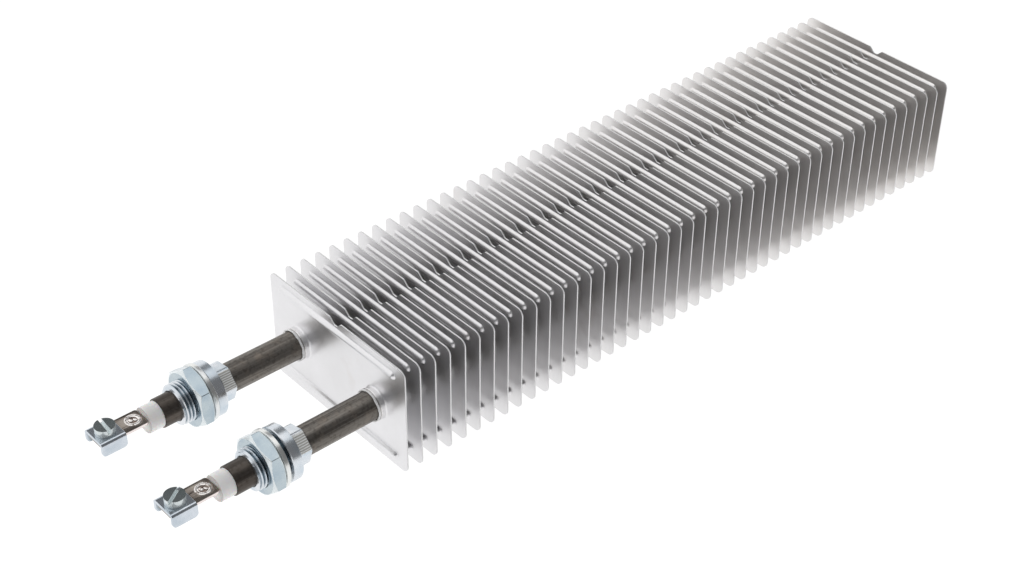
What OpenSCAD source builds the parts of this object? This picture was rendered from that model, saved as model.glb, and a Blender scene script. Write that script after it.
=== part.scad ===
// Finned tubular heater: a sheathed heating tube bent to a U, with pressed sheet fins along both legs
// and a threaded fitting, a ceramic and a screw terminal on each front end.
// X runs along the legs from the terminals to the bend, Y across them, Z up. The fins stand on Z = 0.

/* [Heating tube] */
// Outer diameter of the tube
tube_d = 10; // [8:0.5:12]
// Wall thickness of the tube
tube_wall = 0.8; // [0.5:0.1:1.2]
// Distance between the axes of the two straight legs
leg_spacing = 40; // [36:1:44]
// Height of the legs' axes above the fins' bottom edges
leg_height = 20.5; // [17:0.5:24]
// Distance from the first fin to the tube's front ends
leg_reach = 55.5; // [54:0.5:70]
// How much further the near leg reaches than the far one
leg_skew = 0.9; // [0:0.1:2]
// Straight stretch between the last fin and the bend
bend_gap = 0.3; // [0:0.1:20]

/* [Fins] */
// Number of fins
fin_count = 45; // [2:1:45]
// Distance from one fin to the next
fin_pitch = 6; // [5:0.25:9]
// Width of a fin
fin_w = 70; // [66:1:90]
// Height of a fin
fin_h = 41; // [39:1:60]
// Thickness of the fin sheet
fin_t = 0.5; // [0.3:0.1:0.8]
// Radius of a fin's four corners
fin_corner_r = 2.5; // [1:0.5:4]

/* [Notch in the top edge] */
// Width of the notch at the edge
notch_top_w = 5.8; // [4.8:0.2:10]
// Width of the notch's flat floor
notch_floor_w = 1.8; // [1:0.2:3]
// Depth of the notch
notch_depth = 2; // [1:0.1:2.2]
// Radius where the notch's slopes meet the edge and the floor
notch_r = 0.8; // [0.2:0.1:1]

/* [Beads along the top and bottom edges] */
// Distance from the fin's edge to the bead's centre line
bead_inset = 4.2; // [4:0.1:6]
// Width of a bead
bead_w = 2.8; // [2:0.1:3.2]
// Height of a bead above the front face
bead_h = 1.1; // [0.6:0.1:1.2]
// Distance from the fin's side edge to the bead's end
bead_end = 4.7; // [3:0.1:10]

/* [Collars on the tube] */
// Length of a collar in front of the fin
collar_len = 3.3; // [2:0.1:4]
// Bend radius on the front side, where the sheet turns into the collar
collar_bend_r = 0.7; // [0.3:0.1:1]
// Length of the thicker rim at the collar's mouth
rim_len = 0.8; // [0.4:0.1:0.9]
// How far the rim stands out over the collar
rim_step = 0.15; // [0.05:0.05:0.4]

/* [Threaded fittings] */
// Distance from the first fin to the hexagonal shoulder
shoulder_start = 29.5; // [10:0.5:29.5]
// Length of the hexagonal shoulder
shoulder_len = 5.5; // [3:0.5:5.5]
// Width of the shoulder across its flats
shoulder_af = 12; // [11.6:0.1:15]
// Diameter that rounds the shoulder's corners
shoulder_round_d = 13.2; // [12.8:0.1:17]
// Diameter of the flange
flange_d = 19; // [17:0.5:24]
// Thickness of the flange
flange_t = 3.5; // [2:0.5:3.5]
// Outer diameter of the thread
thread_d = 14; // [14:0.5:16]
// Pitch of the thread
thread_pitch = 1.25; // [0.75:0.25:1.5]
// Length of the thread in front of the flange
thread_len = 11; // [10:0.5:11]

/* [Lock nuts and washers] */
// Width of a nut across its flats
nut_af = 19; // [18:0.5:24]
// Thickness of a nut
nut_t = 5; // [3:0.5:5]
// Diameter of a nut's flat faces inside the chamfer
nut_face_d = 18.4; // [17.6:0.1:19]
// Diameter of a washer
washer_d = 20; // [18:0.5:26]
// Thickness of a washer
washer_t = 1.5; // [1:0.1:1.8]
// Bore of a washer
washer_bore = 14.5; // [14.2:0.1:15]
// Gap between the near washer and its flange
near_washer_gap = 1.5; // [0.1:0.1:1.5]
// Gap between the far washer and its flange
far_washer_gap = 0.1; // [0.1:0.1:1.5]

/* [Ceramic insulators and cold pins] */
// Diameter of a ceramic's head
ceramic_d = 9; // [8.8:0.1:9.8]
// Length of a ceramic in front of the tube
ceramic_len = 5.2; // [3:0.1:8]
// Length of a ceramic inside the tube
spigot_len = 3; // [2:0.5:8]
// Bore of a ceramic
ceramic_bore = 3.2; // [2.9:0.1:4]
// Diameter of a cold pin
pin_d = 2.6; // [2:0.1:2.8]
// Length of a cold pin that lies under its tab
pin_under_tab = 8; // [5:0.1:8]
// Distance that a cold pin reaches back from the tube's mouth
pin_cold_len = 45; // [20:1:45]
// Thickness of the resistance coil
coil_t = 0.6; // [0.3:0.1:1]
// Length of a cold pin that the coil is wound on
coil_overlap = 4; // [2:0.5:8]

/* [Terminals] */
// Width of a tab
tab_w = 7.8; // [7:0.1:9]
// Thickness of a tab
tab_t = 1; // [0.8:0.1:1.5]
// Gap between the ceramic and its tab
tab_gap = 0.2; // [0.1:0.1:1]
// Length of a tab
tab_len = 17.3; // [16:0.1:20]
// Radius of a tab's corners
tab_corner_r = 1; // [0.5:0.1:1.5]
// Distance from a tab's rear edge to the middle of its weld
weld_inset = 3.45; // [3:0.05:4]
// Outer diameter of the ring that the weld raises
weld_d = 5.6; // [4:0.1:5.8]
// Inner diameter of the ring that the weld raises
weld_pit_d = 3; // [2:0.1:3.4]
// Height of the ring that the weld raises
weld_h = 0.35; // [0.2:0.05:0.5]
// Distance from a tab's rear edge to its screw
screw_inset = 13.15; // [12.9:0.05:13.3]
// Length of a saddle
saddle_len = 8.8; // [7.5:0.1:9]
// Thickness of the saddle sheet
saddle_t = 1.1; // [0.8:0.1:1.2]
// Gap between a tab's edge and the saddle's side
saddle_gap = 0.1; // [0.05:0.05:0.4]
// Height of a saddle's sides
saddle_side_h = 5; // [3:0.1:6]

/* [Terminal screws] */
// Diameter of the screw's thread
screw_d = 4; // [3.5:0.5:4]
// Length of the screw under its head
screw_len = 8; // [5:0.5:12]
// Diameter of the cheese head
head_d = 6.7; // [6:0.1:7.4]
// Height of the cheese head
head_h = 2.5; // [2:0.1:3]
// Width of the screwdriver slot
slot_w = 1.2; // [0.8:0.1:1.4]
// Depth of the screwdriver slot
slot_depth = 1.4; // [0.8:0.1:1.6]

/* [Fits] */
// Clearance all round between the tube and what sits on it
tube_clear = 0.05; // [0.01:0.01:0.1]
// Clearance all round between threads
thread_clear = 0.03; // [0.01:0.01:0.1]
// Clearance all round between a saddle's hole and the screw's thread
saddle_hole_clear = 0.2; // [0.1:0.05:0.4]
// Clearance between the pieces that are packed inside the tube
pack_clear = 0.02; // [0.01:0.01:0.05]

/* [Hidden] */
$fn = 64;
NEAR = -1;
FAR = 1;
SIDES = [NEAR, FAR];
// How far a cutting solid reaches past what it cuts
past = 1;

// How far each hexagon is turned about its axis, seen from the terminals
shoulder_turn = [46.5, 51.5];
nut_turn = [18.5, 24];
// Direction of each screw slot, seen from above
slot_turn = [48, 85];

leg_y = leg_spacing / 2;
tube_r = tube_d / 2;
tube_bore_r = tube_r - tube_wall;
seat_r = tube_r + tube_clear;

// Stations along X, counted from the first fin's front face
last_fin_back = (fin_count - 1) * fin_pitch + fin_t;
bend_x = last_fin_back + bend_gap;
flange_back = -shoulder_start - shoulder_len;
flange_front = flange_back - flange_t;
thread_front = flange_front - thread_len;

thread_r = thread_d / 2;
// A metric thread's crest stands 0.325 pitches outside its pitch line
pitch_r = thread_r - 0.325 * thread_pitch;
// The lead chamfer takes off the first thread's height
thread_lead = 0.4 * thread_pitch;

// The bead's outside is an arc through its two feet and its crest
bead_r = (bead_w * bead_w / 4 + bead_h * bead_h) / (2 * bead_h);
bead_axis = bead_r - bead_h;

tab_bottom = pin_d / 2 + pack_clear;
tab_top = tab_bottom + tab_t;
saddle_top = tab_top + saddle_t;
saddle_w = tab_w + 2 * saddle_gap + 2 * saddle_t;
// Folded no rounder than this, so that the fold's inside clears the tab's edge
saddle_bend_r = saddle_t + saddle_gap;

coil_bore_r = pin_d / 2 + pack_clear;
coil_r = coil_bore_r + coil_t;

function index(side) = side == NEAR ? 0 : 1;
function tube_front(side) = -leg_reach + side * leg_skew / 2;
function ceramic_front(side) = tube_front(side) - ceramic_len;
function tab_back(side) = ceramic_front(side) - tab_gap;
function screw_x(side) = tab_back(side) - screw_inset;
function pin_front(side) = tab_back(side) - pin_under_tab;
function pin_back(side) = tube_front(side) + pin_cold_len;
function coil_front(side) = pin_back(side) - coil_overlap;
function terminal_front(side) = min(tab_back(side) - tab_len, screw_x(side) - saddle_len / 2);
function washer_back(side) = flange_front - (side == NEAR ? near_washer_gap : far_washer_gap);
function washer_front(side) = washer_back(side) - washer_t;
function nut_front(side) = washer_front(side) - nut_t;

// The middle of the whole length is at X = 0
x_low = min(terminal_front(NEAR), terminal_front(FAR));
x_high = bend_x + leg_y + tube_r;
x_middle = (x_low + x_high) / 2;

function fin_name(i) = str("fin_", i < 10 ? "0" : "", i);

module centred() {
    translate([-x_middle, 0, 0]) children();
}

// Local x points across the legs, y up and z along the legs, with z = 0 at station x
module on_leg(side, x = 0) {
    translate([x, side * leg_y, leg_height]) rotate([90, 0, 90]) children();
}

// A round bar that runs along both legs and round the bend, from x_near and x_far in front
module u_bar(r, x_near, x_far) {
    on_leg(NEAR, x_near) cylinder(r = r, h = bend_x - x_near);
    on_leg(FAR, x_far) cylinder(r = r, h = bend_x - x_far);
    translate([bend_x, 0, leg_height]) rotate([0, 0, -90])
        rotate_extrude(angle = 180) translate([leg_y, 0]) circle(r = r);
}

module rounded_square(w, h, r) {
    square([w - 2 * r, h], center = true);
    square([w, h - 2 * r], center = true);
    for (x = [-1, 1], y = [-1, 1])
        translate([x * (w / 2 - r), y * (h / 2 - r)]) circle(r = r);
}

// A regular hexagon with one corner at the given angle
module hexagon(across_flats, turn) {
    rotate(turn) circle(d = across_flats / cos(30), $fn = 6);
}

// A bar with round ends, lying along x, measured between the centres of its ends
module capsule(length, r) {
    rotate([0, 90, 0]) rotate_extrude() intersection() {
        union() {
            square([2 * r, length], center = true);
            for (y = [-1, 1]) translate([0, y * length / 2]) circle(r = r);
        }
        translate([0, -length]) square([r, 2 * length]);
    }
}

// The sheet's corner between the top edge and a slope is rounded off, and so is the floor's
module notch_2d() {
    run = (notch_top_w - notch_floor_w) / 2;
    half_angle = atan2(notch_depth, run) / 2;
    r = min(notch_r, 0.45 * norm([run, notch_depth]) / tan(half_angle));
    reach = r * tan(half_angle);
    difference() {
        union() {
            polygon([
                [-notch_top_w / 2, 0], [-notch_floor_w / 2, -notch_depth],
                [notch_floor_w / 2, -notch_depth], [notch_top_w / 2, 0]
            ]);
            translate([-notch_top_w / 2 - reach, 0]) square([notch_top_w + 2 * reach, past]);
            for (x = [-1, 1]) scale([x, 1]) translate([notch_top_w / 2, 0])
                shoulder_2d(r, half_angle, reach);
        }
        for (x = [-1, 1]) scale([x, 1]) translate([notch_floor_w / 2, -notch_depth])
            rotate(180) shoulder_2d(r, half_angle, reach);
    }
}

// The sliver between a rounded corner and its sharp point at the origin
module shoulder_2d(r, half_angle, reach) {
    difference() {
        polygon([
            [0, 0], [reach, 0], [reach, -r * (1 - cos(2 * half_angle))],
            [-reach * cos(2 * half_angle), -reach * sin(2 * half_angle)]
        ]);
        translate([reach, -r]) circle(r = r);
    }
}

module fin_outline() {
    difference() {
        translate([0, fin_h / 2 - leg_height]) rounded_square(fin_w, fin_h, fin_corner_r);
        translate([0, fin_h - leg_height]) notch_2d();
        for (side = SIDES) translate([side * leg_y, 0])
            circle(r = seat_r + fin_t + collar_bend_r);
    }
}

// Half section of a collar: radius along x, the sheet's thickness from y = 0 to fin_t
module collar_2d() {
    bend_at = seat_r + fin_t + collar_bend_r;
    translate([seat_r, -collar_len]) square([fin_t, collar_len - collar_bend_r]);
    translate([seat_r, -collar_len]) square([fin_t + rim_step, rim_len]);
    intersection() {
        translate([bend_at, -collar_bend_r]) difference() {
            circle(r = collar_bend_r + fin_t);
            circle(r = collar_bend_r);
        }
        translate([0, -collar_bend_r]) square([bend_at, collar_bend_r + fin_t]);
    }
}

module fin(i) {
    bead_axis_len = fin_w - 2 * bead_end - bead_w;
    color("gainsboro") translate([(i - 1) * fin_pitch, 0, leg_height]) rotate([90, 0, 90])
        difference() {
            union() {
                linear_extrude(fin_t) fin_outline();
                for (side = SIDES) translate([side * leg_y, 0]) rotate_extrude() collar_2d();
                for (y = [bead_inset, fin_h - bead_inset]) translate([0, y - leg_height])
                    intersection() {
                        translate([0, 0, bead_axis]) capsule(bead_axis_len, bead_r);
                        translate([-fin_w / 2, -bead_w, -bead_r])
                            cube([fin_w, 2 * bead_w, bead_r + fin_t / 2]);
                    }
            }
            for (y = [bead_inset, fin_h - bead_inset]) translate([0, y - leg_height, bead_axis])
                capsule(bead_axis_len, bead_r - fin_t);
        }
}

module sheath() {
    color("dimgray") difference() {
        u_bar(tube_r, tube_front(NEAR), tube_front(FAR));
        u_bar(tube_bore_r, tube_front(NEAR) - past, tube_front(FAR) - past);
    }
}

// The winding is drawn as a sleeve of the coil's inner and outer diameter
module heating_coil() {
    color("orange") difference() {
        u_bar(coil_r, coil_front(NEAR), coil_front(FAR));
        u_bar(coil_bore_r, coil_front(NEAR) - past, coil_front(FAR) - past);
    }
}

module magnesia_filling() {
    color("ivory") {
        difference() {
            u_bar(tube_bore_r - pack_clear, tube_front(NEAR) + spigot_len, tube_front(FAR) + spigot_len);
            u_bar(coil_r + pack_clear, coil_front(NEAR), coil_front(FAR));
            for (side = SIDES) on_leg(side, tube_front(side))
                cylinder(r = pin_d / 2 + pack_clear, h = pin_cold_len);
        }
        u_bar(coil_bore_r - pack_clear, pin_back(NEAR) + pack_clear, pin_back(FAR) + pack_clear);
    }
}

module pin(side) {
    color("silver") on_leg(side, pin_front(side))
        cylinder(d = pin_d, h = pin_back(side) - pin_front(side));
}

// The thread is drawn at its pitch diameter where the nut and washer sit, and at its full diameter in front
module fitting(side) {
    free_back = nut_front(side) - tube_clear;
    color("lightsteelblue") on_leg(side) difference() {
        union() {
            translate([0, 0, flange_back]) intersection() {
                linear_extrude(shoulder_len) hexagon(shoulder_af, shoulder_turn[index(side)]);
                cylinder(d = shoulder_round_d, h = shoulder_len);
            }
            translate([0, 0, flange_front]) cylinder(d = flange_d, h = flange_t);
            translate([0, 0, thread_front]) cylinder(r = pitch_r, h = thread_len);
            translate([0, 0, thread_front])
                cylinder(r1 = thread_r - thread_lead, r2 = thread_r, h = thread_lead);
            translate([0, 0, thread_front + thread_lead])
                cylinder(r = thread_r, h = free_back - thread_front - thread_lead);
        }
        translate([0, 0, thread_front - past])
            cylinder(r = seat_r, h = thread_len + flange_t + shoulder_len + 2 * past);
    }
}

module washers() {
    color("whitesmoke") for (side = SIDES) on_leg(side, washer_front(side)) difference() {
        cylinder(d = washer_d, h = washer_t);
        translate([0, 0, -past]) cylinder(d = washer_bore, h = washer_t + 2 * past);
    }
}

// A hexagonal bar that is cut by one turned profile: chamfered faces, bore and countersinks
module lock_nuts() {
    face_r = nut_face_d / 2;
    outer_r = nut_af / 2 / cos(30) + past;
    chamfer = (outer_r - face_r) * tan(30);
    bore_r = pitch_r + thread_clear;
    sink_r = thread_r + 2 * thread_clear;
    sink = sink_r - bore_r;
    color("lightblue") for (side = SIDES) on_leg(side, nut_front(side)) intersection() {
        linear_extrude(nut_t) hexagon(nut_af, nut_turn[index(side)]);
        rotate_extrude() polygon([
            [sink_r, 0], [face_r, 0], [outer_r, chamfer], [outer_r, nut_t - chamfer],
            [face_r, nut_t], [sink_r, nut_t], [bore_r, nut_t - sink], [bore_r, sink]
        ]);
    }
}

module insulator(side) {
    color("linen") on_leg(side, ceramic_front(side)) difference() {
        union() {
            cylinder(d = ceramic_d, h = ceramic_len);
            cylinder(r = tube_bore_r - tube_clear, h = ceramic_len + spigot_len);
        }
        translate([0, 0, -past]) cylinder(d = ceramic_bore, h = ceramic_len + spigot_len + 2 * past);
    }
}

// The tab lies on the cold pin; the weld leaves a raised ring on its top
module tab(side) {
    middle = screw_inset - tab_len / 2;
    color("gray") translate([screw_x(side), side * leg_y, leg_height + tab_bottom]) difference() {
        union() {
            translate([middle, 0, 0]) linear_extrude(tab_t) rounded_square(tab_len, tab_w, tab_corner_r);
            translate([screw_inset - weld_inset, 0, 0]) cylinder(d = weld_d, h = tab_t + weld_h);
        }
        translate([screw_inset - weld_inset, 0, tab_t]) cylinder(d = weld_pit_d, h = weld_h + past);
        translate([0, 0, -past]) cylinder(r = screw_d / 2, h = tab_t + 2 * past);
    }
}

// The sheet is folded down along both sides of the tab
module saddle_2d() {
    difference() {
        saddle_outline(saddle_w, saddle_side_h, saddle_bend_r);
        translate([0, -saddle_t])
            saddle_outline(saddle_w - 2 * saddle_t, saddle_side_h, saddle_bend_r - saddle_t);
    }
}

// A block with its top edge at y = 0 and its two upper corners rounded
module saddle_outline(w, h, r) {
    translate([-w / 2, -h]) square([w, h - r]);
    translate([-w / 2 + r, -h]) square([w - 2 * r, h]);
    for (x = [-1, 1]) translate([x * (w / 2 - r), -r]) circle(r = r);
}

module saddles() {
    color("slategray") for (side = SIDES) difference() {
        on_leg(side, screw_x(side) - saddle_len / 2) translate([0, saddle_top])
            linear_extrude(saddle_len) saddle_2d();
        translate([screw_x(side), side * leg_y, leg_height + tab_top - past])
            cylinder(r = screw_d / 2 + saddle_hole_clear, h = saddle_t + 2 * past);
    }
}

module screws() {
    shank_r = screw_d / 2 - thread_clear;
    color("darkslategray") for (side = SIDES)
        translate([screw_x(side), side * leg_y, leg_height + saddle_top]) difference() {
            union() {
                cylinder(d = head_d, h = head_h);
                translate([0, 0, -screw_len]) cylinder(r = shank_r, h = screw_len);
            }
            translate([0, 0, head_h - slot_depth]) rotate(slot_turn[index(side)])
                translate([-head_d, -slot_w / 2, 0]) cube([2 * head_d, slot_w, slot_depth + past]);
        }
}

module near_pin() pin(NEAR);
module far_pin() pin(FAR);
module near_fitting() fitting(NEAR);
module far_fitting() fitting(FAR);
module near_insulator() insulator(NEAR);
module far_insulator() insulator(FAR);
module near_tab() tab(NEAR);
module far_tab() tab(FAR);

centred() sheath();
centred() heating_coil();
centred() magnesia_filling();
centred() near_pin();
centred() far_pin();
centred() near_fitting();
centred() far_fitting();
centred() washers();
centred() lock_nuts();
centred() near_insulator();
centred() far_insulator();
centred() near_tab();
centred() far_tab();
centred() saddles();
centred() screws();
for (i = [1:fin_count])
    centred() fin(i);
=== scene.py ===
# A finned tubular heater, dressed for its portrait. Lengths are metres, in the frame of the solid model:
# X runs from the terminals to the bend, Y from the near leg to the far one, Z up.
import math

import bmesh
import bpy
from mathutils import Matrix, Vector, geometry


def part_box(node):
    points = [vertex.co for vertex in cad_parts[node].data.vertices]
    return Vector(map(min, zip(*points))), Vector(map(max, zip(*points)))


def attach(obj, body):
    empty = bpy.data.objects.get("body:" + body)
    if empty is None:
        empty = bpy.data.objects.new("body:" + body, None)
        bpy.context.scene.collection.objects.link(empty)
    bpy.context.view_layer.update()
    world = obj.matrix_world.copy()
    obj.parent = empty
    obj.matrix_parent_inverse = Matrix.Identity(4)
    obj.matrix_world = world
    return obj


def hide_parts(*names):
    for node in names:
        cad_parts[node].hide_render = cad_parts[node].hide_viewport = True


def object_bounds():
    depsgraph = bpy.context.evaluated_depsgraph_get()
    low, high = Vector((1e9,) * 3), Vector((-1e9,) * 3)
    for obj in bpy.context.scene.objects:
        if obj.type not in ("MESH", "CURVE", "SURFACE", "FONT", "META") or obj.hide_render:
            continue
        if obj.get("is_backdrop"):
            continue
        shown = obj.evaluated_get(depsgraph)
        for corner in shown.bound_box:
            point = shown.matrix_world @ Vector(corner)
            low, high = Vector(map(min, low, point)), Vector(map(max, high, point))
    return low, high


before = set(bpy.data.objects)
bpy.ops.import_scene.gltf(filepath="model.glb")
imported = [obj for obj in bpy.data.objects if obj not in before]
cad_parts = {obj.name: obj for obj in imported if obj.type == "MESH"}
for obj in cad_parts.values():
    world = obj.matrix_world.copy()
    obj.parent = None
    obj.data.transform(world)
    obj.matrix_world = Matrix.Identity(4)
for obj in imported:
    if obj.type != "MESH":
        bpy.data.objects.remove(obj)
cad_low, cad_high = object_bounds()
mm = 0.001


# Heating tube. One length of 10 mm stainless tube, bent to a U and swaged down on its packed winding, so
# it carries lengthwise die marks. The furnace has left a thin brown-grey oxide that rubs off in streaks.
tube_low, tube_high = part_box("sheath")
tube_r = (tube_high.z - tube_low.z) / 2
tube_z = (tube_high.z + tube_low.z) / 2
leg_y = (tube_high.y - tube_low.y) / 2 - tube_r
bend_x = tube_high.x - leg_y - tube_r
tube_wall = 0.8 * mm
# Where the darker oxide of the mouths ends, inside the fittings, and how far it takes to fade
mouths_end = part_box("far_fitting")[0].x + 3 * mm
mouths_fade = 3 * mm
far_leg_short = 0.9 * mm


def feed(tree, node, values):
    """Joins a node's inputs to other sockets, or sets their own values."""
    for name, value in values.items():
        if isinstance(value, bpy.types.NodeSocket):
            tree.links.new(value, node.inputs[name])
        else:
            node.inputs[name].default_value = value


def step(tree, kind, inputs=None, **settings):
    """Adds a node of either kind of tree; an input is a socket to join or a value to set."""
    made = tree.nodes.new(kind)
    for name, value in settings.items():
        setattr(made, name, value)
    feed(tree, made, inputs or {})
    return made


def shader(tree, kind, inputs=None, **settings):
    """Adds a shader node."""
    return step(tree, "ShaderNode" + kind, inputs, **settings)


def new_group(name, inputs, outputs, kind="Shader"):
    """An empty node group with its named sockets."""
    tree = bpy.data.node_groups.new(name, kind + "NodeTree")
    for way, sockets in (("INPUT", inputs), ("OUTPUT", outputs)):
        for label, value in sockets:
            tree.interface.new_socket(label, in_out=way, socket_type="NodeSocket" + value)
    return tree, tree.nodes.new("NodeGroupInput").outputs, tree.nodes.new("NodeGroupOutput").inputs


def streaks_group():
    """Fine lines that run along X, as a mask from 0 to 1."""
    tree, given, out = new_group(
        "Drawn lines", [("Vector", "Vector"), ("Across", "Float"), ("Along", "Float")],
        [("Lines", "Float"), ("Clouds", "Float")],
    )
    stretch = shader(tree, "CombineXYZ", {"X": given["Along"], "Y": given["Across"], "Z": given["Across"]})
    moved = shader(tree, "VectorMath", {0: given["Vector"], 1: stretch.outputs[0]}, operation="MULTIPLY")
    place = moved.outputs[0]
    fine = shader(tree, "TexNoise", {"Vector": place, "Scale": 1.0, "Detail": 4.0, "Roughness": 0.6})
    broad = shader(tree, "TexNoise", {"Vector": place, "Scale": 0.22, "Detail": 3.0})
    tree.links.new(fine.outputs["Fac"], out["Lines"])
    tree.links.new(broad.outputs["Fac"], out["Clouds"])
    return tree


def finish_named(name):
    """A new material's tree, its Principled shader and its Object coordinates."""
    material = bpy.data.materials.new(name)
    material.use_nodes = True
    tree = material.node_tree
    place = shader(tree, "TexCoord").outputs["Object"]
    return material, tree, tree.nodes["Principled BSDF"], place


def reopen(material):
    """A dressed material's tree and shader, and what feeds its colour and its roughness."""
    tree = material.node_tree
    surface = tree.nodes["Principled BSDF"]
    fed = [surface.inputs[name].links[0].from_socket for name in ("Base Color", "Roughness")]
    return tree, surface, *fed


def mix_colour(tree, factor, start, end):
    """Blends two colours by a mask."""
    first, second = (
        value if isinstance(value, bpy.types.NodeSocket) else (*value, 1.0) for value in (start, end)
    )
    return shader(tree, "Mix", {"Factor": factor, 6: first, 7: second}, data_type="RGBA").outputs[2]


def tinted(tree, colour, *layers):
    """Lays more colours over one, each through its own mask."""
    for mask, tint in layers:
        colour = mix_colour(tree, mask, colour, tint)
    return colour


def mix_value(tree, factor, start, end):
    """Blends two numbers by a mask."""
    return shader(tree, "Mix", {"Factor": factor, 2: start, 3: end}, data_type="FLOAT").outputs[0]


def spread(tree, value, low, high, to_low=0.0, to_high=1.0):
    """Stretches a mask's useful range and clamps it."""
    return shader(tree, "MapRange", {
        "Value": value, "From Min": low, "From Max": high, "To Min": to_low, "To Max": to_high,
    }).outputs[0]


def combine(tree, operation, *values):
    """One step of arithmetic on masks."""
    return shader(tree, "Math", dict(enumerate(values)), operation=operation).outputs[0]


def part_of(tree, vector, axis):
    """One coordinate of a vector."""
    return shader(tree, "SeparateXYZ", {0: vector}).outputs[axis]


def marked(tree, name):
    """A mask that the mesh carries."""
    return shader(tree, "Attribute", attribute_name=name).outputs["Fac"]


def relief(tree, height, strength, depth):
    """A bump for the surface's normal."""
    return shader(tree, "Bump", {"Height": height, "Strength": strength, "Distance": depth}).outputs[0]


def use_group(tree, group, **inputs):
    """Places a shader node group with its own values."""
    placed = shader(tree, "Group", node_tree=group)
    feed(tree, placed, {name.replace("_", " ").capitalize(): value for name, value in inputs.items()})
    return placed.outputs


def cloud_group():
    """Soft blotches and fine grain of a dull metal skin."""
    tree, given, out = new_group(
        "Metal bloom", [("Vector", "Vector"), ("Blotch scale", "Float"), ("Grain scale", "Float")],
        [("Blotches", "Float"), ("Grain", "Float")],
    )
    place, broad, narrow = given["Vector"], given["Blotch scale"], given["Grain scale"]
    blotches = shader(tree, "TexNoise", {"Vector": place, "Scale": broad, "Detail": 4.0, "Roughness": 0.55})
    grain = shader(tree, "TexNoise", {"Vector": place, "Scale": narrow, "Detail": 2.0})
    tree.links.new(blotches.outputs["Fac"], out["Blotches"])
    tree.links.new(grain.outputs["Fac"], out["Grain"])
    return tree


drawn_lines = streaks_group()
metal_bloom = cloud_group()


def oxidised_tube():
    material, tree, surface, place = finish_named("oxidised_tube")
    unbent = shader(tree, "Attribute", attribute_name="unbent").outputs["Vector"]
    marks = use_group(tree, drawn_lines, vector=unbent, across=900.0, along=14.0)
    bloom = use_group(tree, metal_bloom, vector=place, blotch_scale=260.0, grain_scale=900.0)
    oxide = spread(tree, marks["Clouds"], 0.36, 0.66)
    colour = mix_colour(tree, oxide, (0.115, 0.104, 0.093), (0.195, 0.18, 0.162))
    along = part_of(tree, place, "X")
    colour = tinted(
        tree, colour,
        (spread(tree, marks["Lines"], 0.47, 0.68), (0.25, 0.232, 0.21)),
        (spread(tree, bloom["Blotches"], 0.5, 0.72, 0.0, 0.55), (0.24, 0.20, 0.165)),
        (spread(tree, bloom["Grain"], 0.5, 0.72, 0.0, 0.6), (0.07, 0.062, 0.052)),
        (spread(tree, along, mouths_end, mouths_end + mouths_fade, 0.65, 0.0), (0.045, 0.034, 0.028)),
    )
    feed(tree, surface, {
        "Base Color": colour, "Metallic": 0.9,
        "Roughness": spread(tree, marks["Lines"], 0.3, 0.7, 0.5, 0.36),
        "Normal": relief(tree, marks["Lines"], 0.12, 0.05 * mm),
    })
    return material


def link_object(name, data):
    made = bpy.data.objects.new(name, data)
    bpy.context.scene.collection.objects.link(made)
    return made


def to_plain_mesh(source, name):
    """Bakes an object's modifiers into a new plain mesh object and removes the source."""
    evaluated = source.evaluated_get(bpy.context.evaluated_depsgraph_get())
    baked = bpy.data.meshes.new_from_object(evaluated)
    baked.name = name
    bpy.data.objects.remove(source)
    return link_object(name, baked)


def new_tree(name, inputs):
    """A geometry group with a geometry input and output and the named inputs."""
    solid = [("Geometry", "Geometry")]
    return new_group(name, solid + inputs, solid, "Geometry")


def end_tree(tree, geometry, given, out):
    """Sets the given material and puts the geometry out."""
    dressed = step(
        tree, "GeometryNodeSetMaterial", {"Geometry": geometry.outputs[0], "Material": given["Finish"]}
    )
    tree.links.new(dressed.outputs[0], out["Geometry"])
    return tree


def run_tree(source, tree, values):
    """Puts a tree on an object and sets its inputs by identifier."""
    modifier = source.modifiers.new(tree.name, "NODES")
    modifier.node_group = tree
    for item in tree.interface.items_tree:
        if item.in_out == "INPUT" and item.name in values:
            modifier[item.identifier] = values[item.name]
    return source


def swept_tube_tree():
    """Sweeps a circle along the path and keeps where each point was before the tube was bent."""
    tree, given, out = new_tree(
        "Swept tube", [("Radius", "Float"), ("Facets", "Int"), ("Finish", "Material")]
    )
    path = step(tree, "GeometryNodeCaptureAttribute", {"Geometry": given["Geometry"]})
    path.capture_items.new("FLOAT", "Along")
    feed(tree, path, {"Along": step(tree, "GeometryNodeSplineParameter").outputs["Length"]})
    circle = {"Resolution": given["Facets"], "Radius": given["Radius"]}
    ring = step(tree, "GeometryNodeCurvePrimitiveCircle", circle)
    profile = step(tree, "GeometryNodeCaptureAttribute", {"Geometry": ring.outputs[0]})
    profile.capture_items.new("VECTOR", "Across")
    feed(tree, profile, {"Across": step(tree, "GeometryNodeInputPosition").outputs[0]})
    curves = {"Curve": path.outputs[0], "Profile Curve": profile.outputs[0]}
    swept = step(tree, "GeometryNodeCurveToMesh", curves)
    across = shader(tree, "SeparateXYZ", {0: profile.outputs["Across"]}).outputs
    unbent = shader(tree, "CombineXYZ", {"X": path.outputs["Along"], "Y": across[0], "Z": across[1]})
    stored = step(
        tree, "GeometryNodeStoreNamedAttribute",
        {"Geometry": swept.outputs[0], "Name": "unbent", "Value": unbent.outputs[0]},
        data_type="FLOAT_VECTOR", domain="POINT",
    )
    smooth = step(tree, "GeometryNodeSetShadeSmooth", {"Geometry": stored.outputs[0]})
    return end_tree(tree, smooth, given, out)


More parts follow.
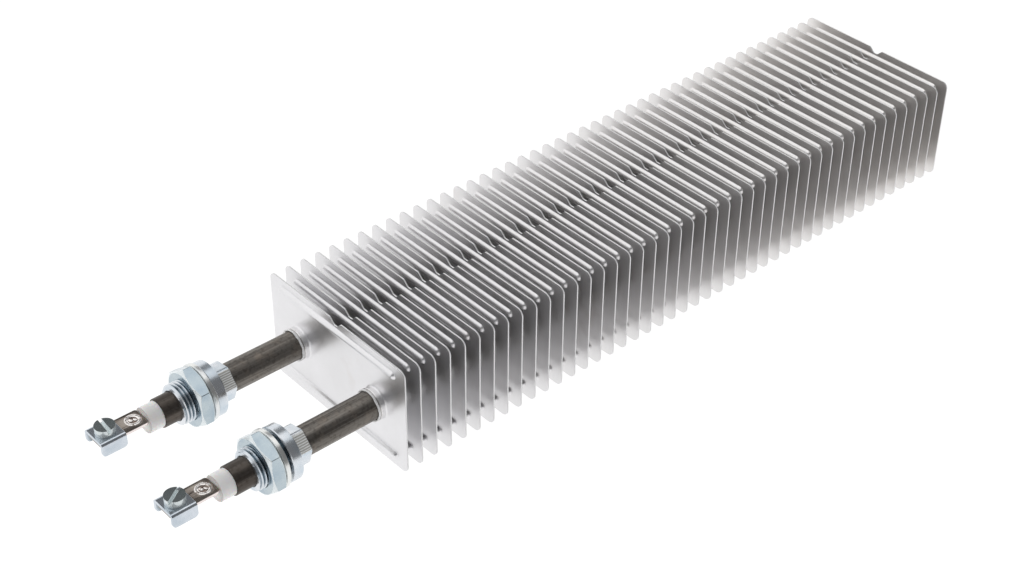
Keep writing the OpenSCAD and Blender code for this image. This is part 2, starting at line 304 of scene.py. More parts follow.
def u_path(name, near_front, far_front, bend_steps=40):
    """The centre line of a U: in along the near leg, round the bend and back along the far leg."""
    points = [(near_front, -leg_y), ((near_front + bend_x) / 2, -leg_y)]
    for i in range(bend_steps + 1):
        turn = math.pi * (i / bend_steps - 0.5)
        points.append((bend_x + leg_y * math.cos(turn), leg_y * math.sin(turn)))
    points += [((far_front + bend_x) / 2, leg_y), (far_front, leg_y)]
    curve = bpy.data.curves.new(name, "CURVE")
    curve.dimensions = "3D"
    spline = curve.splines.new("POLY")
    spline.points.add(len(points) - 1)
    for point, (x, y) in zip(spline.points, points):
        point.co = (x, y, tube_z, 1)
    return link_object(name, curve)


def face_outwards(mesh):
    """Merges doubles and turns every face of a closed mesh outwards."""
    work = bmesh.new()
    work.from_mesh(mesh)
    bmesh.ops.remove_doubles(work, verts=work.verts, dist=0.001 * mm)
    bmesh.ops.recalc_face_normals(work, faces=work.faces)
    work.to_mesh(mesh)
    work.free()


def round_edges(piece, width, segments=2, angle=35):
    """A narrow bevel on every edge sharper than the angle in degrees."""
    bevel = piece.modifiers.new("Broken edges", "BEVEL")
    bevel.width = width
    bevel.segments = segments
    bevel.limit_method = "ANGLE"
    bevel.angle_limit = math.radians(angle)
    bevel.use_clamp_overlap = True


def soften(mesh, angle=30):
    """Smooth shading with creases at edges sharper than the angle in degrees."""
    mesh.shade_smooth()
    mesh.set_sharp_from_angle(angle=math.radians(angle))


def mark(mesh, name, values, domain="POINT"):
    """Stores one number for each of the mesh's points or faces."""
    mesh.attributes.new(name, "FLOAT", domain).data.foreach_set("value", values)


def keep_flats(piece):
    """Smooth shading in which the larger faces lead, so that flats stay flat beside a rounded edge."""
    weighted = piece.modifiers.new("Flats lead", "WEIGHTED_NORMAL")
    weighted.weight = 90


tube = run_tree(
    u_path("tube_path", tube_low.x, tube_low.x + far_leg_short),
    swept_tube_tree(),
    {"Radius": tube_r, "Facets": 48, "Finish": oxidised_tube()},
)
tube = to_plain_mesh(tube, "heating_tube")
wall = tube.modifiers.new("Wall", "SOLIDIFY")
wall.thickness = tube_wall
wall.offset = -1
round_edges(tube, 0.12 * mm, angle=60)
tube = to_plain_mesh(tube, "heating_tube")
face_outwards(tube.data)
soften(tube.data, 40)
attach(tube, "root")
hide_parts("sheath")


# Winding and filling. A resistance wire, wound as a close coil round a magnesia core, runs the heated
# length of the tube, and pressed magnesia powder fills the rest of the bore. Both are sealed inside.
def resistance_wire():
    material, tree, surface, place = finish_named("resistance_wire")
    turns = shader(tree, "TexWave", {"Vector": place, "Scale": 400.0, "Distortion": 0.3})
    colour = mix_colour(tree, turns.outputs["Fac"], (0.20, 0.19, 0.18), (0.46, 0.44, 0.42))
    feed(tree, surface, {"Base Color": colour, "Metallic": 1.0, "Roughness": 0.45})
    return material


def pressed_powder():
    material, tree, surface, place = finish_named("pressed_magnesia")
    grain = shader(tree, "TexNoise", {"Vector": place, "Scale": 2500.0, "Detail": 3.0})
    colour = mix_colour(tree, grain.outputs["Fac"], (0.72, 0.70, 0.66), (0.90, 0.88, 0.85))
    feed(tree, surface, {"Base Color": colour, "Roughness": 0.95})
    return material


def dress(node, material):
    """Puts one material on a solid that keeps its shape."""
    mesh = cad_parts[node].data
    mesh.materials.clear()
    mesh.materials.append(material)


dress("heating_coil", resistance_wire())
dress("magnesia_filling", pressed_powder())


# Fins. Forty-five stampings of half-millimetre aluminised steel. Each has two drawn collars that grip the
# legs, a stiffening bead along its top and bottom edges, and a small locating notch in its top edge.
fin_names = sorted(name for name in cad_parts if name.startswith("fin_"))
fin_low, fin_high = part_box(fin_names[0])
fin_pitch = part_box(fin_names[1])[1].x - fin_high.x
fin_w = fin_high.y - fin_low.y
fin_h = fin_high.z - fin_low.z
fin_t = 0.5 * mm
fin_front = fin_high.x - fin_t
fin_corner_r = 2.5 * mm
notch_top = 5.8 * mm
notch_floor = 1.8 * mm
notch_depth = 2.0 * mm
notch_r = 0.8 * mm
bead_inset = 4.2 * mm
bead_end_inset = 6.1 * mm
bead_reach = fin_w / 2 - bead_end_inset
bead_r = 1.44 * mm
bead_rise = 1.1 * mm
bead_turn = 1.25 * mm
bead_foot = 1.68 * mm
bead_rings = (bead_foot, 1.5 * mm, bead_turn, 1.0 * mm, 0.7 * mm, 0.35 * mm)
seat_r = tube_r + 0.05 * mm
collar_r = seat_r + fin_t
collar_bend = 0.7 * mm
collar_len = fin_front - fin_low.x
# The collar's step and groove in millimetres: how far in front of the fin, and how far off its plain radius
collar_profile = ((1.2, 0.02), (1.8, 0.10), (2.05, 0.10), (2.2, -0.04), (2.45, -0.04), (2.6, 0.14))
fin_lean = math.radians(0.12)


def rounded(corners, step_angle=18):
    """An outline through corners given as (y, z, radius), each turned as an arc."""
    points = []
    for i, (y, z, radius) in enumerate(corners):
        here = Vector((y, z))
        back = (Vector(corners[i - 1][:2]) - here).normalized()
        ahead = (Vector(corners[(i + 1) % len(corners)][:2]) - here).normalized()
        half = back.angle(ahead) / 2
        middle = here + (back + ahead).normalized() * radius / math.sin(half)
        start = here + back * radius / math.tan(half) - middle
        sweep = math.pi - 2 * half
        steps = max(1, math.ceil(math.degrees(sweep) / step_angle))
        side = math.copysign(1, -back.cross(ahead))
        for k in range(steps + 1):
            points.append(middle + Matrix.Rotation(side * sweep * k / steps, 2) @ start)
    return points


def fin_outline():
    """The fin's edge, anticlockwise as seen along X, with the notch in the middle of the top."""
    y, top = fin_w / 2, fin_h
    a, b = notch_top / 2, notch_floor / 2
    return rounded([
        (-y, 0, fin_corner_r), (y, 0, fin_corner_r), (y, top, fin_corner_r),
        (a, top, notch_r), (b, top - notch_depth, notch_r),
        (-b, top - notch_depth, notch_r), (-a, top, notch_r),
        (-y, top, fin_corner_r),
    ])


def bead_distance(y, z):
    """How far a point lies from the nearer bead's centre line."""
    run = max(abs(y) - bead_reach, 0.0)
    return min(math.hypot(run, z - line) for line in (bead_inset, fin_h - bead_inset))


def bead_height(distance):
    """A bead's section: an arc that runs out into the sheet through a small fillet."""
    if distance > bead_turn:
        fade = max(bead_foot - distance, 0.0) / (bead_foot - bead_turn)
        return bead_height(bead_turn) * fade ** 2
    return math.sqrt(bead_r ** 2 - distance ** 2) - bead_r + bead_rise


def pressed_fin(name, facets, rim_wear=0.0):
    """One fin's front skin with its beads and collars, as a sheet that a modifier then thickens."""
    points, edges = [], []

    def add_loop(loop):
        first = len(points)
        points.extend(loop)
        edges.extend((first + i, first + (i + 1) % len(loop)) for i in range(len(loop)))

    add_loop(fin_outline())
    for line in (bead_inset, fin_h - bead_inset):
        for r in bead_rings:
            turns = [math.pi * (k / 6 - 0.5) for k in range(7)]
            right = [Vector((bead_reach + r * math.cos(t), line + r * math.sin(t))) for t in turns]
            left = [Vector((-p.x, 2 * line - p.y)) for p in right]
            add_loop(right + left)
        first = len(points)
        points += [Vector((-bead_reach, line)), Vector((bead_reach, line))]
        edges.append((first, first + 1))
    root_r = collar_r + collar_bend
    angles = [2 * math.pi * k / facets for k in range(facets)]
    for side in (-1, 1):
        add_loop([
            Vector((side * leg_y + root_r * math.cos(t), tube_z + root_r * math.sin(t))) for t in angles
        ])

    # The sheet stays open where a face's middle lies inside a collar's root
    opening = root_r * math.cos(math.pi / facets) * 0.999
    flat = geometry.delaunay_2d_cdt(points, edges, [], 1, 1e-7)
    work = bmesh.new()
    corners = []
    for p in flat[0]:
        corners.append(work.verts.new((-bead_height(bead_distance(p.x, p.y)), p.x, p.y)))
    for face in flat[2]:
        middle = sum((flat[0][i] for i in face), Vector((0, 0))) / len(face)
        if min((middle - Vector((s * leg_y, tube_z))).length for s in (-1, 1)) > opening:
            work.faces.new([corners[i] for i in face])

    # The collar's outside from its root to its mouth: distance in front of the fin, then radius
    rows = []
    for k in range(5):
        turn = math.pi / 2 * k / 4
        rows.append((collar_bend * (1 - math.cos(turn)), root_r - collar_bend * math.sin(turn)))
    rows += [(reach * mm, collar_r + out * mm) for reach, out in collar_profile]
    rows += [(collar_len - 0.12 * mm, collar_r + 0.15 * mm), (collar_len, collar_r + 0.08 * mm)]
    for side in (-1, 1):
        previous = None
        for reach, r in rows:
            ring = []
            for t in angles:
                # Wear grows over the last third of the collar and differs from side to side
                worn = rim_wear * (math.sin(5 * t + side) + math.sin(11 * t + 2 * side)) / 2
                worn *= max(0.0, reach / collar_len - 0.7) / 0.3
                ring.append(work.verts.new((
                    -reach + worn, side * leg_y + (r + worn / 3) * math.cos(t),
                    tube_z + (r + worn / 3) * math.sin(t),
                )))
            if previous:
                for k in range(facets):
                    n = (k + 1) % facets
                    work.faces.new((previous[k], previous[n], ring[n], ring[k]))
            previous = ring
    bmesh.ops.remove_doubles(work, verts=work.verts, dist=0.002 * mm)
    bmesh.ops.recalc_face_normals(work, faces=work.faces)
    drawn = work.verts.layers.float.new("drawn")
    for v in work.verts:
        off_axis = math.hypot(abs(v.co.y) - leg_y, v.co.z - tube_z)
        v[drawn] = -v.co.x / collar_len if off_axis < root_r + 0.01 * mm else -1.0
    centre = Vector((0, 0, fin_h / 2))
    if min(work.faces, key=lambda f: (f.calc_center_median() - centre).length).normal.x > 0:
        bmesh.ops.reverse_faces(work, faces=work.faces)
    mesh = bpy.data.meshes.new(name)
    work.to_mesh(mesh)
    work.free()
    mesh.shade_smooth()
    sheet = link_object(name, mesh)
    thick = sheet.modifiers.new("Sheet", "SOLIDIFY")
    thick.thickness = fin_t
    thick.offset = -1
    thick.use_even_offset = True
    round_edges(sheet, 0.08 * mm, segments=1, angle=50)
    sheet = to_plain_mesh(sheet, name)
    face_outwards(sheet.data)
    keep_flats(sheet)
    return to_plain_mesh(sheet, name)


def aluminised_sheet():
    """Sheet with pale cut edges and soiled collars. It is painted lighter and less of a mirror towards the
    bend, which is painted light, and its collars' groove is painted dark as painted shade.
    """
    material, tree, surface, place = finish_named("aluminised_sheet")
    bloom = use_group(tree, metal_bloom, vector=place, blotch_scale=45.0, grain_scale=2200.0)
    lines = use_group(tree, drawn_lines, vector=place, across=260.0, along=260.0)
    # Painted light: the fins are painted lighter and made less of a mirror towards the bend
    far = spread(tree, part_of(tree, place, "X"), fin_front, fin_front + fin_pitch * len(fin_names))
    facing = part_of(tree, shader(tree, "TexCoord").outputs["Normal"], "X")
    sideways = spread(tree, combine(tree, "ABSOLUTE", facing), 0.2, 0.5, 1.0, 0.0)
    # "drawn" runs from 0 at a collar's root to 1 at its mouth, and is -1 on the flat sheet
    drawn = marked(tree, "drawn")
    cut = combine(tree, "MULTIPLY", sideways, spread(tree, drawn, -0.9, -0.6, 1.0, 0.0))
    sheared = combine(tree, "MAXIMUM", cut, spread(tree, drawn, 0.80, 0.86))
    # Painted shade: the collars' groove is painted dark where shade falls in it
    groove = combine(
        tree, "MULTIPLY", spread(tree, drawn, 0.62, 0.66), spread(tree, drawn, 0.74, 0.79, 0.8, 0.0)
    )
    soiled = combine(
        tree, "MULTIPLY", spread(tree, drawn, 0.3, 0.6), spread(tree, bloom["Grain"], 0.55, 0.7, 0.0, 0.6)
    )
    blotches = spread(tree, bloom["Blotches"], 0.35, 0.7)
    colour = mix_colour(tree, blotches, (0.73, 0.725, 0.735), (0.81, 0.805, 0.82))
    colour = tinted(
        tree, colour,
        (far, (0.82, 0.80, 0.785)),
        (spread(tree, lines["Clouds"], 0.62, 0.8, 0.0, 0.5), (0.60, 0.56, 0.53)),
        (spread(tree, drawn, 0.05, 0.3, 0.0, 0.7), (0.95, 0.94, 0.94)),
        (groove, (0.30, 0.29, 0.28)),
        (sheared, (0.95, 0.95, 0.95)),
        (soiled, (0.34, 0.31, 0.29)),
    )
    smooth = spread(tree, bloom["Blotches"], 0.3, 0.7, 0.28, 0.38)
    feed(tree, surface, {
        "Base Color": colour, "Roughness": mix_value(tree, sheared, smooth, 0.5),
        "Metallic": mix_value(tree, sheared, mix_value(tree, far, 0.95, 0.87), 0.1),
        "Normal": relief(tree, bloom["Grain"], 0.08, 0.02 * mm),
    })
    return material


def fin_row_tree():
    """Sets copies of the fin in a row, each a trifle out of true as pressed-on fins are."""
    tree, given, out = new_tree("Row of fins", [
        ("Count", "Int"), ("Pitch", "Float"), ("First", "Float"), ("Lean", "Float"),
        ("Seed", "Int"), ("Finish", "Material"),
    ])
    start = shader(tree, "CombineXYZ", {"X": given["First"]}).outputs[0]
    offset = shader(tree, "CombineXYZ", {"X": given["Pitch"]}).outputs[0]
    line = step(
        tree, "GeometryNodeMeshLine",
        {"Count": given["Count"], "Start Location": start, "Offset": offset}, mode="OFFSET",
    )
    low = combine(tree, "MULTIPLY", given["Lean"], -1.0)
    least = shader(tree, "CombineXYZ", {"Y": low, "Z": low}).outputs[0]
    most = shader(tree, "CombineXYZ", {"Y": given["Lean"], "Z": given["Lean"]}).outputs[0]
    bounds = {0: least, 1: most, "Seed": given["Seed"]}
    lean = step(tree, "FunctionNodeRandomValue", bounds, data_type="FLOAT_VECTOR")
    row = step(tree, "GeometryNodeInstanceOnPoints", {
        "Points": line.outputs[0], "Instance": given["Geometry"], "Rotation": lean.outputs[0],
    })
    real = step(tree, "GeometryNodeRealizeInstances", {"Geometry": row.outputs[0]})
    return end_tree(tree, real, given, out)


def lower(mesh, drop):
    """Moves a mesh down, so that a lean turns it about the legs' height."""
    mesh.transform(Matrix.Translation((0, 0, -drop)))


fin_finish = aluminised_sheet()
front_fin = pressed_fin("front_fin", 48, rim_wear=0.12 * mm)
front_fin.data.transform(Matrix.Translation((fin_front, 0, 0)))
front_fin.data.materials.append(fin_finish)
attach(front_fin, "root")
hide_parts(fin_names[0])

fin_row = pressed_fin("fin_row", 24)
lower(fin_row.data, tube_z)
fin_row = run_tree(fin_row, fin_row_tree(), {
    "Count": len(fin_names) - 1, "Pitch": fin_pitch, "First": fin_front + fin_pitch,
    "Lean": fin_lean, "Seed": 7, "Finish": fin_finish,
})
fin_row = to_plain_mesh(fin_row, "fin_row")
lower(fin_row.data, -tube_z)
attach(fin_row, "root")
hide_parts(*fin_names[1:])


# Threaded fittings. Each is turned from one steel bar: a hexagonal shoulder that is crimped on the tube, a
# flange, and an M14 thread of 1.25 mm pitch. They are plated with bright zinc, passivated blue.
thread_r = 7.0 * mm
thread_pitch = 1.25 * mm
thread_depth = 0.75 * mm
thread_lead = 0.5 * mm
flange_r = 9.5 * mm
shoulder_flat = 6.0 * mm
shoulder_round = 6.6 * mm
shoulder_len = 5.5 * mm
flange_t = 3.5 * mm
thread_runout = 0.6 * mm
mouth_chamfer = 0.3 * mm
# How far behind the fitting's front the painted shade in the thread's roots begins
root_shade_from = 0.7 * mm


def hex_radius(turn, corner, flat):
    """A hexagon's radius in the direction turn, for a corner at the angle corner."""
    off = (turn - corner) % (math.pi / 3) - math.pi / 6
    return flat / math.cos(off)


def lathe(name, rows, facets, first=0.0):
    """A closed turned form along X. Each row is (x, radius), or gives them for a turn angle."""
    work = bmesh.new()
    rings = []
    for row in rows:
        ring = []
        for k in range(facets):
            turn = first + 2 * math.pi * k / facets
            x, r = row(turn) if callable(row) else row
            ring.append(work.verts.new((x, r * math.cos(turn), r * math.sin(turn))))
        rings.append(ring)
    for a, b in zip(rings, rings[1:] + rings[:1]):
        for k in range(facets):
            n = (k + 1) % facets
            work.faces.new((a[k], a[n], b[n], b[k]))
    bmesh.ops.remove_doubles(work, verts=work.verts, dist=0.001 * mm)
    bmesh.ops.dissolve_degenerate(work, edges=work.edges, dist=0.0005 * mm)
    bmesh.ops.recalc_face_normals(work, faces=work.faces)
    mesh = bpy.data.meshes.new(name)
    work.to_mesh(mesh)
    work.free()
    return mesh


def thread_rows(front, back, crest_r, depth, pitch, chamfer):
    """Rows of a right-hand thread between two stations, with a chamfered start."""
    trim = 0.02 * mm
    start_r = crest_r - depth - trim

    def row(station, r):
        def at(turn):
            x = station + pitch * (turn % (2 * math.pi)) / (2 * math.pi)
            if x <= front:
                return front, start_r
            if x >= back:
                return back, crest_r - depth
            return x, min(r, max(start_r, crest_r - chamfer + (x - front)))
        return at

    # A turn's section: how far along the pitch, and how far under the crest
    section = ((0, depth), (0.14, depth), (0.50, trim), (0.57, 0), (0.64, trim))
    rows = []
    for k in range(math.ceil((back - front) / pitch) + 1):
        base = front + (k - 1) * pitch
        rows += [row(base + share * pitch, crest_r - sunk) for share, sunk in section]
    return rows


def zinc(name, pale, blue, rough, deep=(0.30, 0.31, 0.36), deep_share=0.25):
    """Bright zinc with a blue passivation that clouds from pale to blue, and duller spots."""
    material, tree, surface, place = finish_named(name)
    bloom = use_group(tree, metal_bloom, vector=place, blotch_scale=140.0, grain_scale=4200.0)
    clouds = mix_colour(tree, spread(tree, bloom["Blotches"], 0.36, 0.64), pale, blue)
    spots = spread(tree, bloom["Grain"], 0.55, 0.85, 0.0, deep_share)
    feed(tree, surface, {
        "Base Color": mix_colour(tree, spots, clouds, deep), "Metallic": 1.0,
        "Roughness": spread(tree, bloom["Blotches"], 0.3, 0.7, rough, rough + 0.1),
        "Normal": relief(tree, bloom["Grain"], 0.15, 0.02 * mm),
    })
    return material


def brighten(material, colour, metallic):
    """Gives the faces marked as bright a colour of their own and less of a mirror."""
    tree, surface, plain, _ = reopen(material)
    bright = marked(tree, "bright")
    feed(tree, surface, {
        "Base Color": mix_colour(tree, bright, plain, colour),
        "Metallic": spread(tree, bright, 0.0, 1.0, 1.0, metallic),
    })
    return material


def fitting_zinc():
    """The zinc of the fittings, painted dark as painted shade in the thread's roots, and hatched by the
    crimping tool at the back.
    """
    material = zinc("fitting_zinc", (0.74, 0.76, 0.79), (0.58, 0.65, 0.71), 0.22)
    tree, surface, plated, polish = reopen(material)
    place = shader(tree, "TexCoord").outputs["Object"]
    # Painted shade: the thread's roots and the relief behind the thread are painted a dark navy
    root_shaded = mix_colour(tree, spread(tree, marked(tree, "root"), 0.3, 1.0), plated, (0.17, 0.23, 0.27))
    hatch = shader(
        tree, "TexWave", {"Vector": place, "Scale": 560.0, "Distortion": 1.2}, bands_direction="Z"
    ).outputs["Fac"]
    struck = mix_colour(tree, spread(tree, hatch, 0.2, 0.8), (0.54, 0.53, 0.49), (0.97, 0.98, 0.97))
    crimped = marked(tree, "crimped")
    feed(tree, surface, {
        "Base Color": mix_colour(tree, crimped, root_shaded, struck),
        "Roughness": mix_value(tree, crimped, polish, 0.5),
        "Metallic": spread(tree, crimped, 0.0, 1.0, 1.0, 0.2),
    })
    return material


fitting_finish = fitting_zinc()


def fitting(node, corner_angle):
    """One fitting in its node's place, with a corner of its hexagon at the angle in degrees."""
    low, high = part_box(node)
    corner = math.radians(corner_angle)
    front, back = low.x, high.x
    flange_back = back - shoulder_len
    flange_front = flange_back - flange_t
    thread_back = flange_front - thread_runout
    root_r = thread_r - thread_depth
    edge = 0.25 * mm

    def shoulder(x, trim):
        return lambda turn: (x, min(hex_radius(turn, corner, shoulder_flat), shoulder_round) - trim)

    rows = [(back, seat_r), (front + mouth_chamfer, seat_r), (front, seat_r + mouth_chamfer)]
    rows += thread_rows(front, thread_back, thread_r, thread_depth, thread_pitch, thread_lead)
    rows += [
        (thread_back, root_r), (flange_front, root_r),
        (flange_front, flange_r - edge), (flange_front + edge, flange_r),
        (flange_back - edge, flange_r), (flange_back, flange_r - edge),
        shoulder(flange_back, 0.0), shoulder(back - edge, 0.0), shoulder(back, edge),
    ]
    mesh = lathe(node, rows, 96, corner)
    # How deep each point lies in the thread, the mask for the painted shade in its roots
    roots = []
    for v in mesh.vertices:
        sunk = (thread_r - math.hypot(v.co.y, v.co.z)) / thread_depth
        cut = front + root_shade_from < v.co.x < flange_front + edge / 2
        roots.append(min(max(sunk, 0.0), 1.0) if cut else 0.0)
    mark(mesh, "root", roots)
    # The tool has struck every other flat of the hexagon
    struck = []
    for face in mesh.polygons:
        turn = math.atan2(face.center.z, face.center.y) - corner
        flat = turn % (2 * math.pi / 3) > math.pi / 3 and abs(face.normal.x) < 0.5
        struck.append(float(flat and face.center.x > flange_back))
    mark(mesh, "crimped", struck, "FACE")
    mesh.transform(Matrix.Translation((0, (low.y + high.y) / 2, (low.z + high.z) / 2)))
    piece = link_object(node + "_turned", mesh)
    mesh.materials.append(fitting_finish)
    soften(mesh, 24)
    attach(piece, "root")
    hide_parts(node)


fitting("near_fitting", 46.5)
fitting("far_fitting", 51.5)


# Washers and lock nuts. A flat punched washer and a 19 mm hexagon nut on each thread clamp the duct's
# wall against the flange. The nuts are chamfered on both faces, and no two are turned alike.
def pair_tree():
    """Sets a part on two points, each copy turned about an axis by its point's own angle."""
    tree, given, out = new_tree(
        "Pair on the legs", [("Part", "Object"), ("Axis", "Vector"), ("Finish", "Material")]
    )
    part = step(tree, "GeometryNodeObjectInfo", {"Object": given["Part"]})
    turn = step(tree, "GeometryNodeInputNamedAttribute", {"Name": "turn"}, data_type="FLOAT").outputs[0]
    angle = shader(tree, "VectorMath", {0: given["Axis"], "Scale": turn}, operation="SCALE")
    placed = step(tree, "GeometryNodeInstanceOnPoints", {
        "Points": given["Geometry"], "Instance": part.outputs["Geometry"], "Rotation": angle.outputs[0],
    })
    real = step(tree, "GeometryNodeRealizeInstances", {"Geometry": placed.outputs[0]})
    return end_tree(tree, real, given, out)


pair = pair_tree()


def set_pair(name, part, places, turns, axis, finish, node):
    """Places a part at two points, bakes the pair to one piece and lets it stand for its node."""
    mesh = bpy.data.meshes.new(name)
    mesh.from_pydata(places, [], [])
    mark(mesh, "turn", [math.radians(turn) for turn in turns])
    points = run_tree(link_object(name, mesh), pair, {"Part": part, "Axis": axis, "Finish": finish})
    piece = to_plain_mesh(points, name)
    bpy.data.objects.remove(part)
    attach(piece, "root")
    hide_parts(node)


def solids_of(node):
    """The near and the far solid's own box, for a node that holds one on each leg."""
    points = [v.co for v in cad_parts[node].data.vertices]
    halves = []
    for side in (-1, 1):
        own = [p for p in points if p.y * side > 0]
        halves.append([Vector([pick(p[i] for p in own) for i in range(3)]) for pick in (min, max)])
    return halves


def leg_points(node):
    """Where each leg's axis meets the front of the node's near and far solids."""
    return [(low.x, side * leg_y, tube_z) for side, (low, _) in zip((-1, 1), solids_of(node))]


washer_t = 1.5 * mm
washer_r = 10.0 * mm
washer_bore_r = 7.25 * mm
washer_burr = 0.15 * mm
washer = link_object("washer", lathe("washer", [
    (0, washer_bore_r + washer_burr), (0, washer_r - 2 * washer_burr),
    (0.6 * washer_burr, washer_r - 0.6 * washer_burr), (2 * washer_burr, washer_r),
    (washer_t - washer_burr, washer_r), (washer_t, washer_r - washer_burr),
    (washer_t, washer_bore_r), (washer_burr, washer_bore_r),
], 72))
soften(washer.data, 28)
washer_finish = zinc("washer_zinc", (0.83, 0.83, 0.80), (0.74, 0.76, 0.77), 0.26, deep_share=0.1)
set_pair(
    "flat_washers", washer, leg_points("washers"), (0, 0), (1, 0, 0),
    washer_finish, "washers",
)

nut_t = 5.0 * mm
nut_flat = 9.5 * mm
nut_face_r = 9.2 * mm
nut_bore_r = 6.63 * mm
nut_sink_r = 7.06 * mm
nut_sink = nut_sink_r - nut_bore_r


def nut_flank(back):
    """The curved edge where the turned chamfer runs out on the hexagon's flats."""
    def at(turn):
        r = hex_radius(turn, 0.0, nut_flat)
        reach = (r - nut_face_r) * math.tan(math.radians(30))
        return (nut_t - reach if back else reach), r
    return at


nut = link_object("nut", lathe("nut", [
    (nut_sink, nut_bore_r), (0, nut_sink_r), (0, nut_face_r), nut_flank(False),
    nut_flank(True), (nut_t, nut_face_r), (nut_t, nut_sink_r), (nut_t - nut_sink, nut_bore_r),
], 96))
nut.data.shade_smooth()
round_edges(nut, 0.18 * mm, angle=24)
keep_flats(nut)
nut = to_plain_mesh(nut, "nut")
# The chamfers' edges are painted bright, a painted highlight along the hexagon's chamfers
mark(nut.data, "bright", [
    float(0.2 < abs(face.normal.x) < 0.93 and math.hypot(face.center.y, face.center.z) > nut_face_r)
    for face in nut.data.polygons
], "FACE")
nut_finish = zinc("nut_zinc", (0.49, 0.56, 0.59), (0.39, 0.47, 0.53), 0.13, deep_share=0.1)
set_pair(
    "hexagon_nuts", nut, leg_points("lock_nuts"), (18.5, 24), (1, 0, 0),
    brighten(nut_finish, (0.86, 0.92, 0.94), 0.35), "lock_nuts",
)


# Ceramic insulators. A dry-pressed steatite bead with a stepped spigot stops each mouth of the tube and
# keeps the pin off the wall. It is matt and off-white, with a thin brown line of painted shade round its
# front rim.
def steatite():
    material, tree, surface, place = finish_named("steatite")
    bloom = use_group(tree, metal_bloom, vector=place, blotch_scale=300.0, grain_scale=5000.0)
    blotches = spread(tree, bloom["Blotches"], 0.35, 0.7)
    colour = mix_colour(tree, blotches, (0.93, 0.915, 0.90), (0.98, 0.97, 0.96))
    colour = tinted(
        tree, colour,
        (spread(tree, bloom["Grain"], 0.62, 0.8, 0.0, 0.35), (0.56, 0.50, 0.45)),
        # Painted shade: a brown line round the front rim
        (spread(tree, marked(tree, "rim_painted_shade"), 0.2, 1.0, 0.0, 0.35), (0.30, 0.20, 0.14)),
    )
    feed(tree, surface, {
        "Base Color": colour, "Roughness": 0.55, "Subsurface Weight": 0.15, "Subsurface Scale": 0.6 * mm,
        "Normal": relief(tree, bloom["Grain"], 0.2, 0.05 * mm),
    })
    return material


ceramic_r = 4.5 * mm
ceramic_head = 5.2 * mm
ceramic_spigot = 3.0 * mm
spigot_r = tube_r - tube_wall - 0.05 * mm
ceramic_bore_r = 1.6 * mm
ceramic_bore_edge = 0.25 * mm
ceramic_back_edge = 0.15 * mm
ceramic_finish = steatite()
for side, node in ((-1, "near_insulator"), (1, "far_insulator")):
    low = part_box(node)[0]
    edge, tail = 0.3 * mm, ceramic_head + ceramic_spigot
    mesh = lathe(node, [
        (ceramic_bore_edge, ceramic_bore_r), (0, ceramic_bore_r + ceramic_bore_edge), (0, ceramic_r - edge),
        (0.3 * edge, ceramic_r - 0.3 * edge), (edge, ceramic_r),
        (ceramic_head - ceramic_back_edge, ceramic_r), (ceramic_head, ceramic_r - ceramic_back_edge),
        (ceramic_head, spigot_r), (tail - edge, spigot_r), (tail, spigot_r - edge), (tail, ceramic_bore_r),
    ], 64)
    # The front rim, marked for a thin brown line of painted shade
    mark(mesh, "rim_painted_shade", [
        float(v.co.x < edge / 2 and math.hypot(v.co.y, v.co.z) > ceramic_r - 1.2 * edge)
        for v in mesh.vertices
    ])
    mesh.transform(Matrix.Translation((low.x, side * leg_y, tube_z)))
    mesh.materials.append(ceramic_finish)
    soften(mesh, 30)
    bead = link_object(node + "_bead", mesh)
    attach(bead, "root")
    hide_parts(node)


# Cold pins. A plain steel wire is screwed into each end of the winding, runs out through the ceramic and
# lies under its tab. Welding has browned it.
def browned_steel(name, brown, grey, rough, wear=0.6):
    material, tree, surface, place = finish_named(name)
    bloom = use_group(tree, metal_bloom, vector=place, blotch_scale=220.0, grain_scale=3600.0)
    lines = use_group(tree, drawn_lines, vector=place, across=1500.0, along=60.0)
    tone = mix_colour(tree, spread(tree, bloom["Blotches"], 0.35, 0.65), brown, grey)
    worn = spread(tree, lines["Lines"], 0.52, 0.78, 0.0, wear)
    feed(tree, surface, {
        "Base Color": mix_colour(tree, worn, tone, (0.52, 0.49, 0.46)), "Metallic": 1.0,
        "Roughness": spread(tree, lines["Lines"], 0.3, 0.7, rough + 0.08, rough),
        "Normal": relief(tree, lines["Lines"], 0.15, 0.03 * mm),
    })
    return material


pin_r = 1.3 * mm
pin_centre_r = 0.001 * mm
pin_finish = browned_steel("browned_pin", (0.25, 0.20, 0.17), (0.42, 0.38, 0.35), 0.3)
for side, node in ((-1, "near_pin"), (1, "far_pin")):
    low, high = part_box(node)
    edge = 0.2 * mm
    mesh = lathe(node, [
        (low.x, pin_centre_r), (low.x, pin_r - edge), (low.x + edge, pin_r),
        (high.x - edge, pin_r), (high.x, pin_r - edge), (high.x, pin_centre_r),
    ], 32)
    mesh.transform(Matrix.Translation((0, side * leg_y, tube_z)))
    mesh.materials.append(pin_finish)
    soften(mesh, 30)
    wire = link_object(node + "_wire", mesh)
    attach(wire, "root")
    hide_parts(node)


# Terminal tabs. A strip of sheet steel is welded on each pin through its top, which leaves a bright raised
# ring and two frozen drops in a dark crater. The heat has turned the strip brown.
weld_outer = 2.8 * mm
weld_inner = 1.5 * mm
weld_from_back = 3.45 * mm
weld_rise = 0.35 * mm


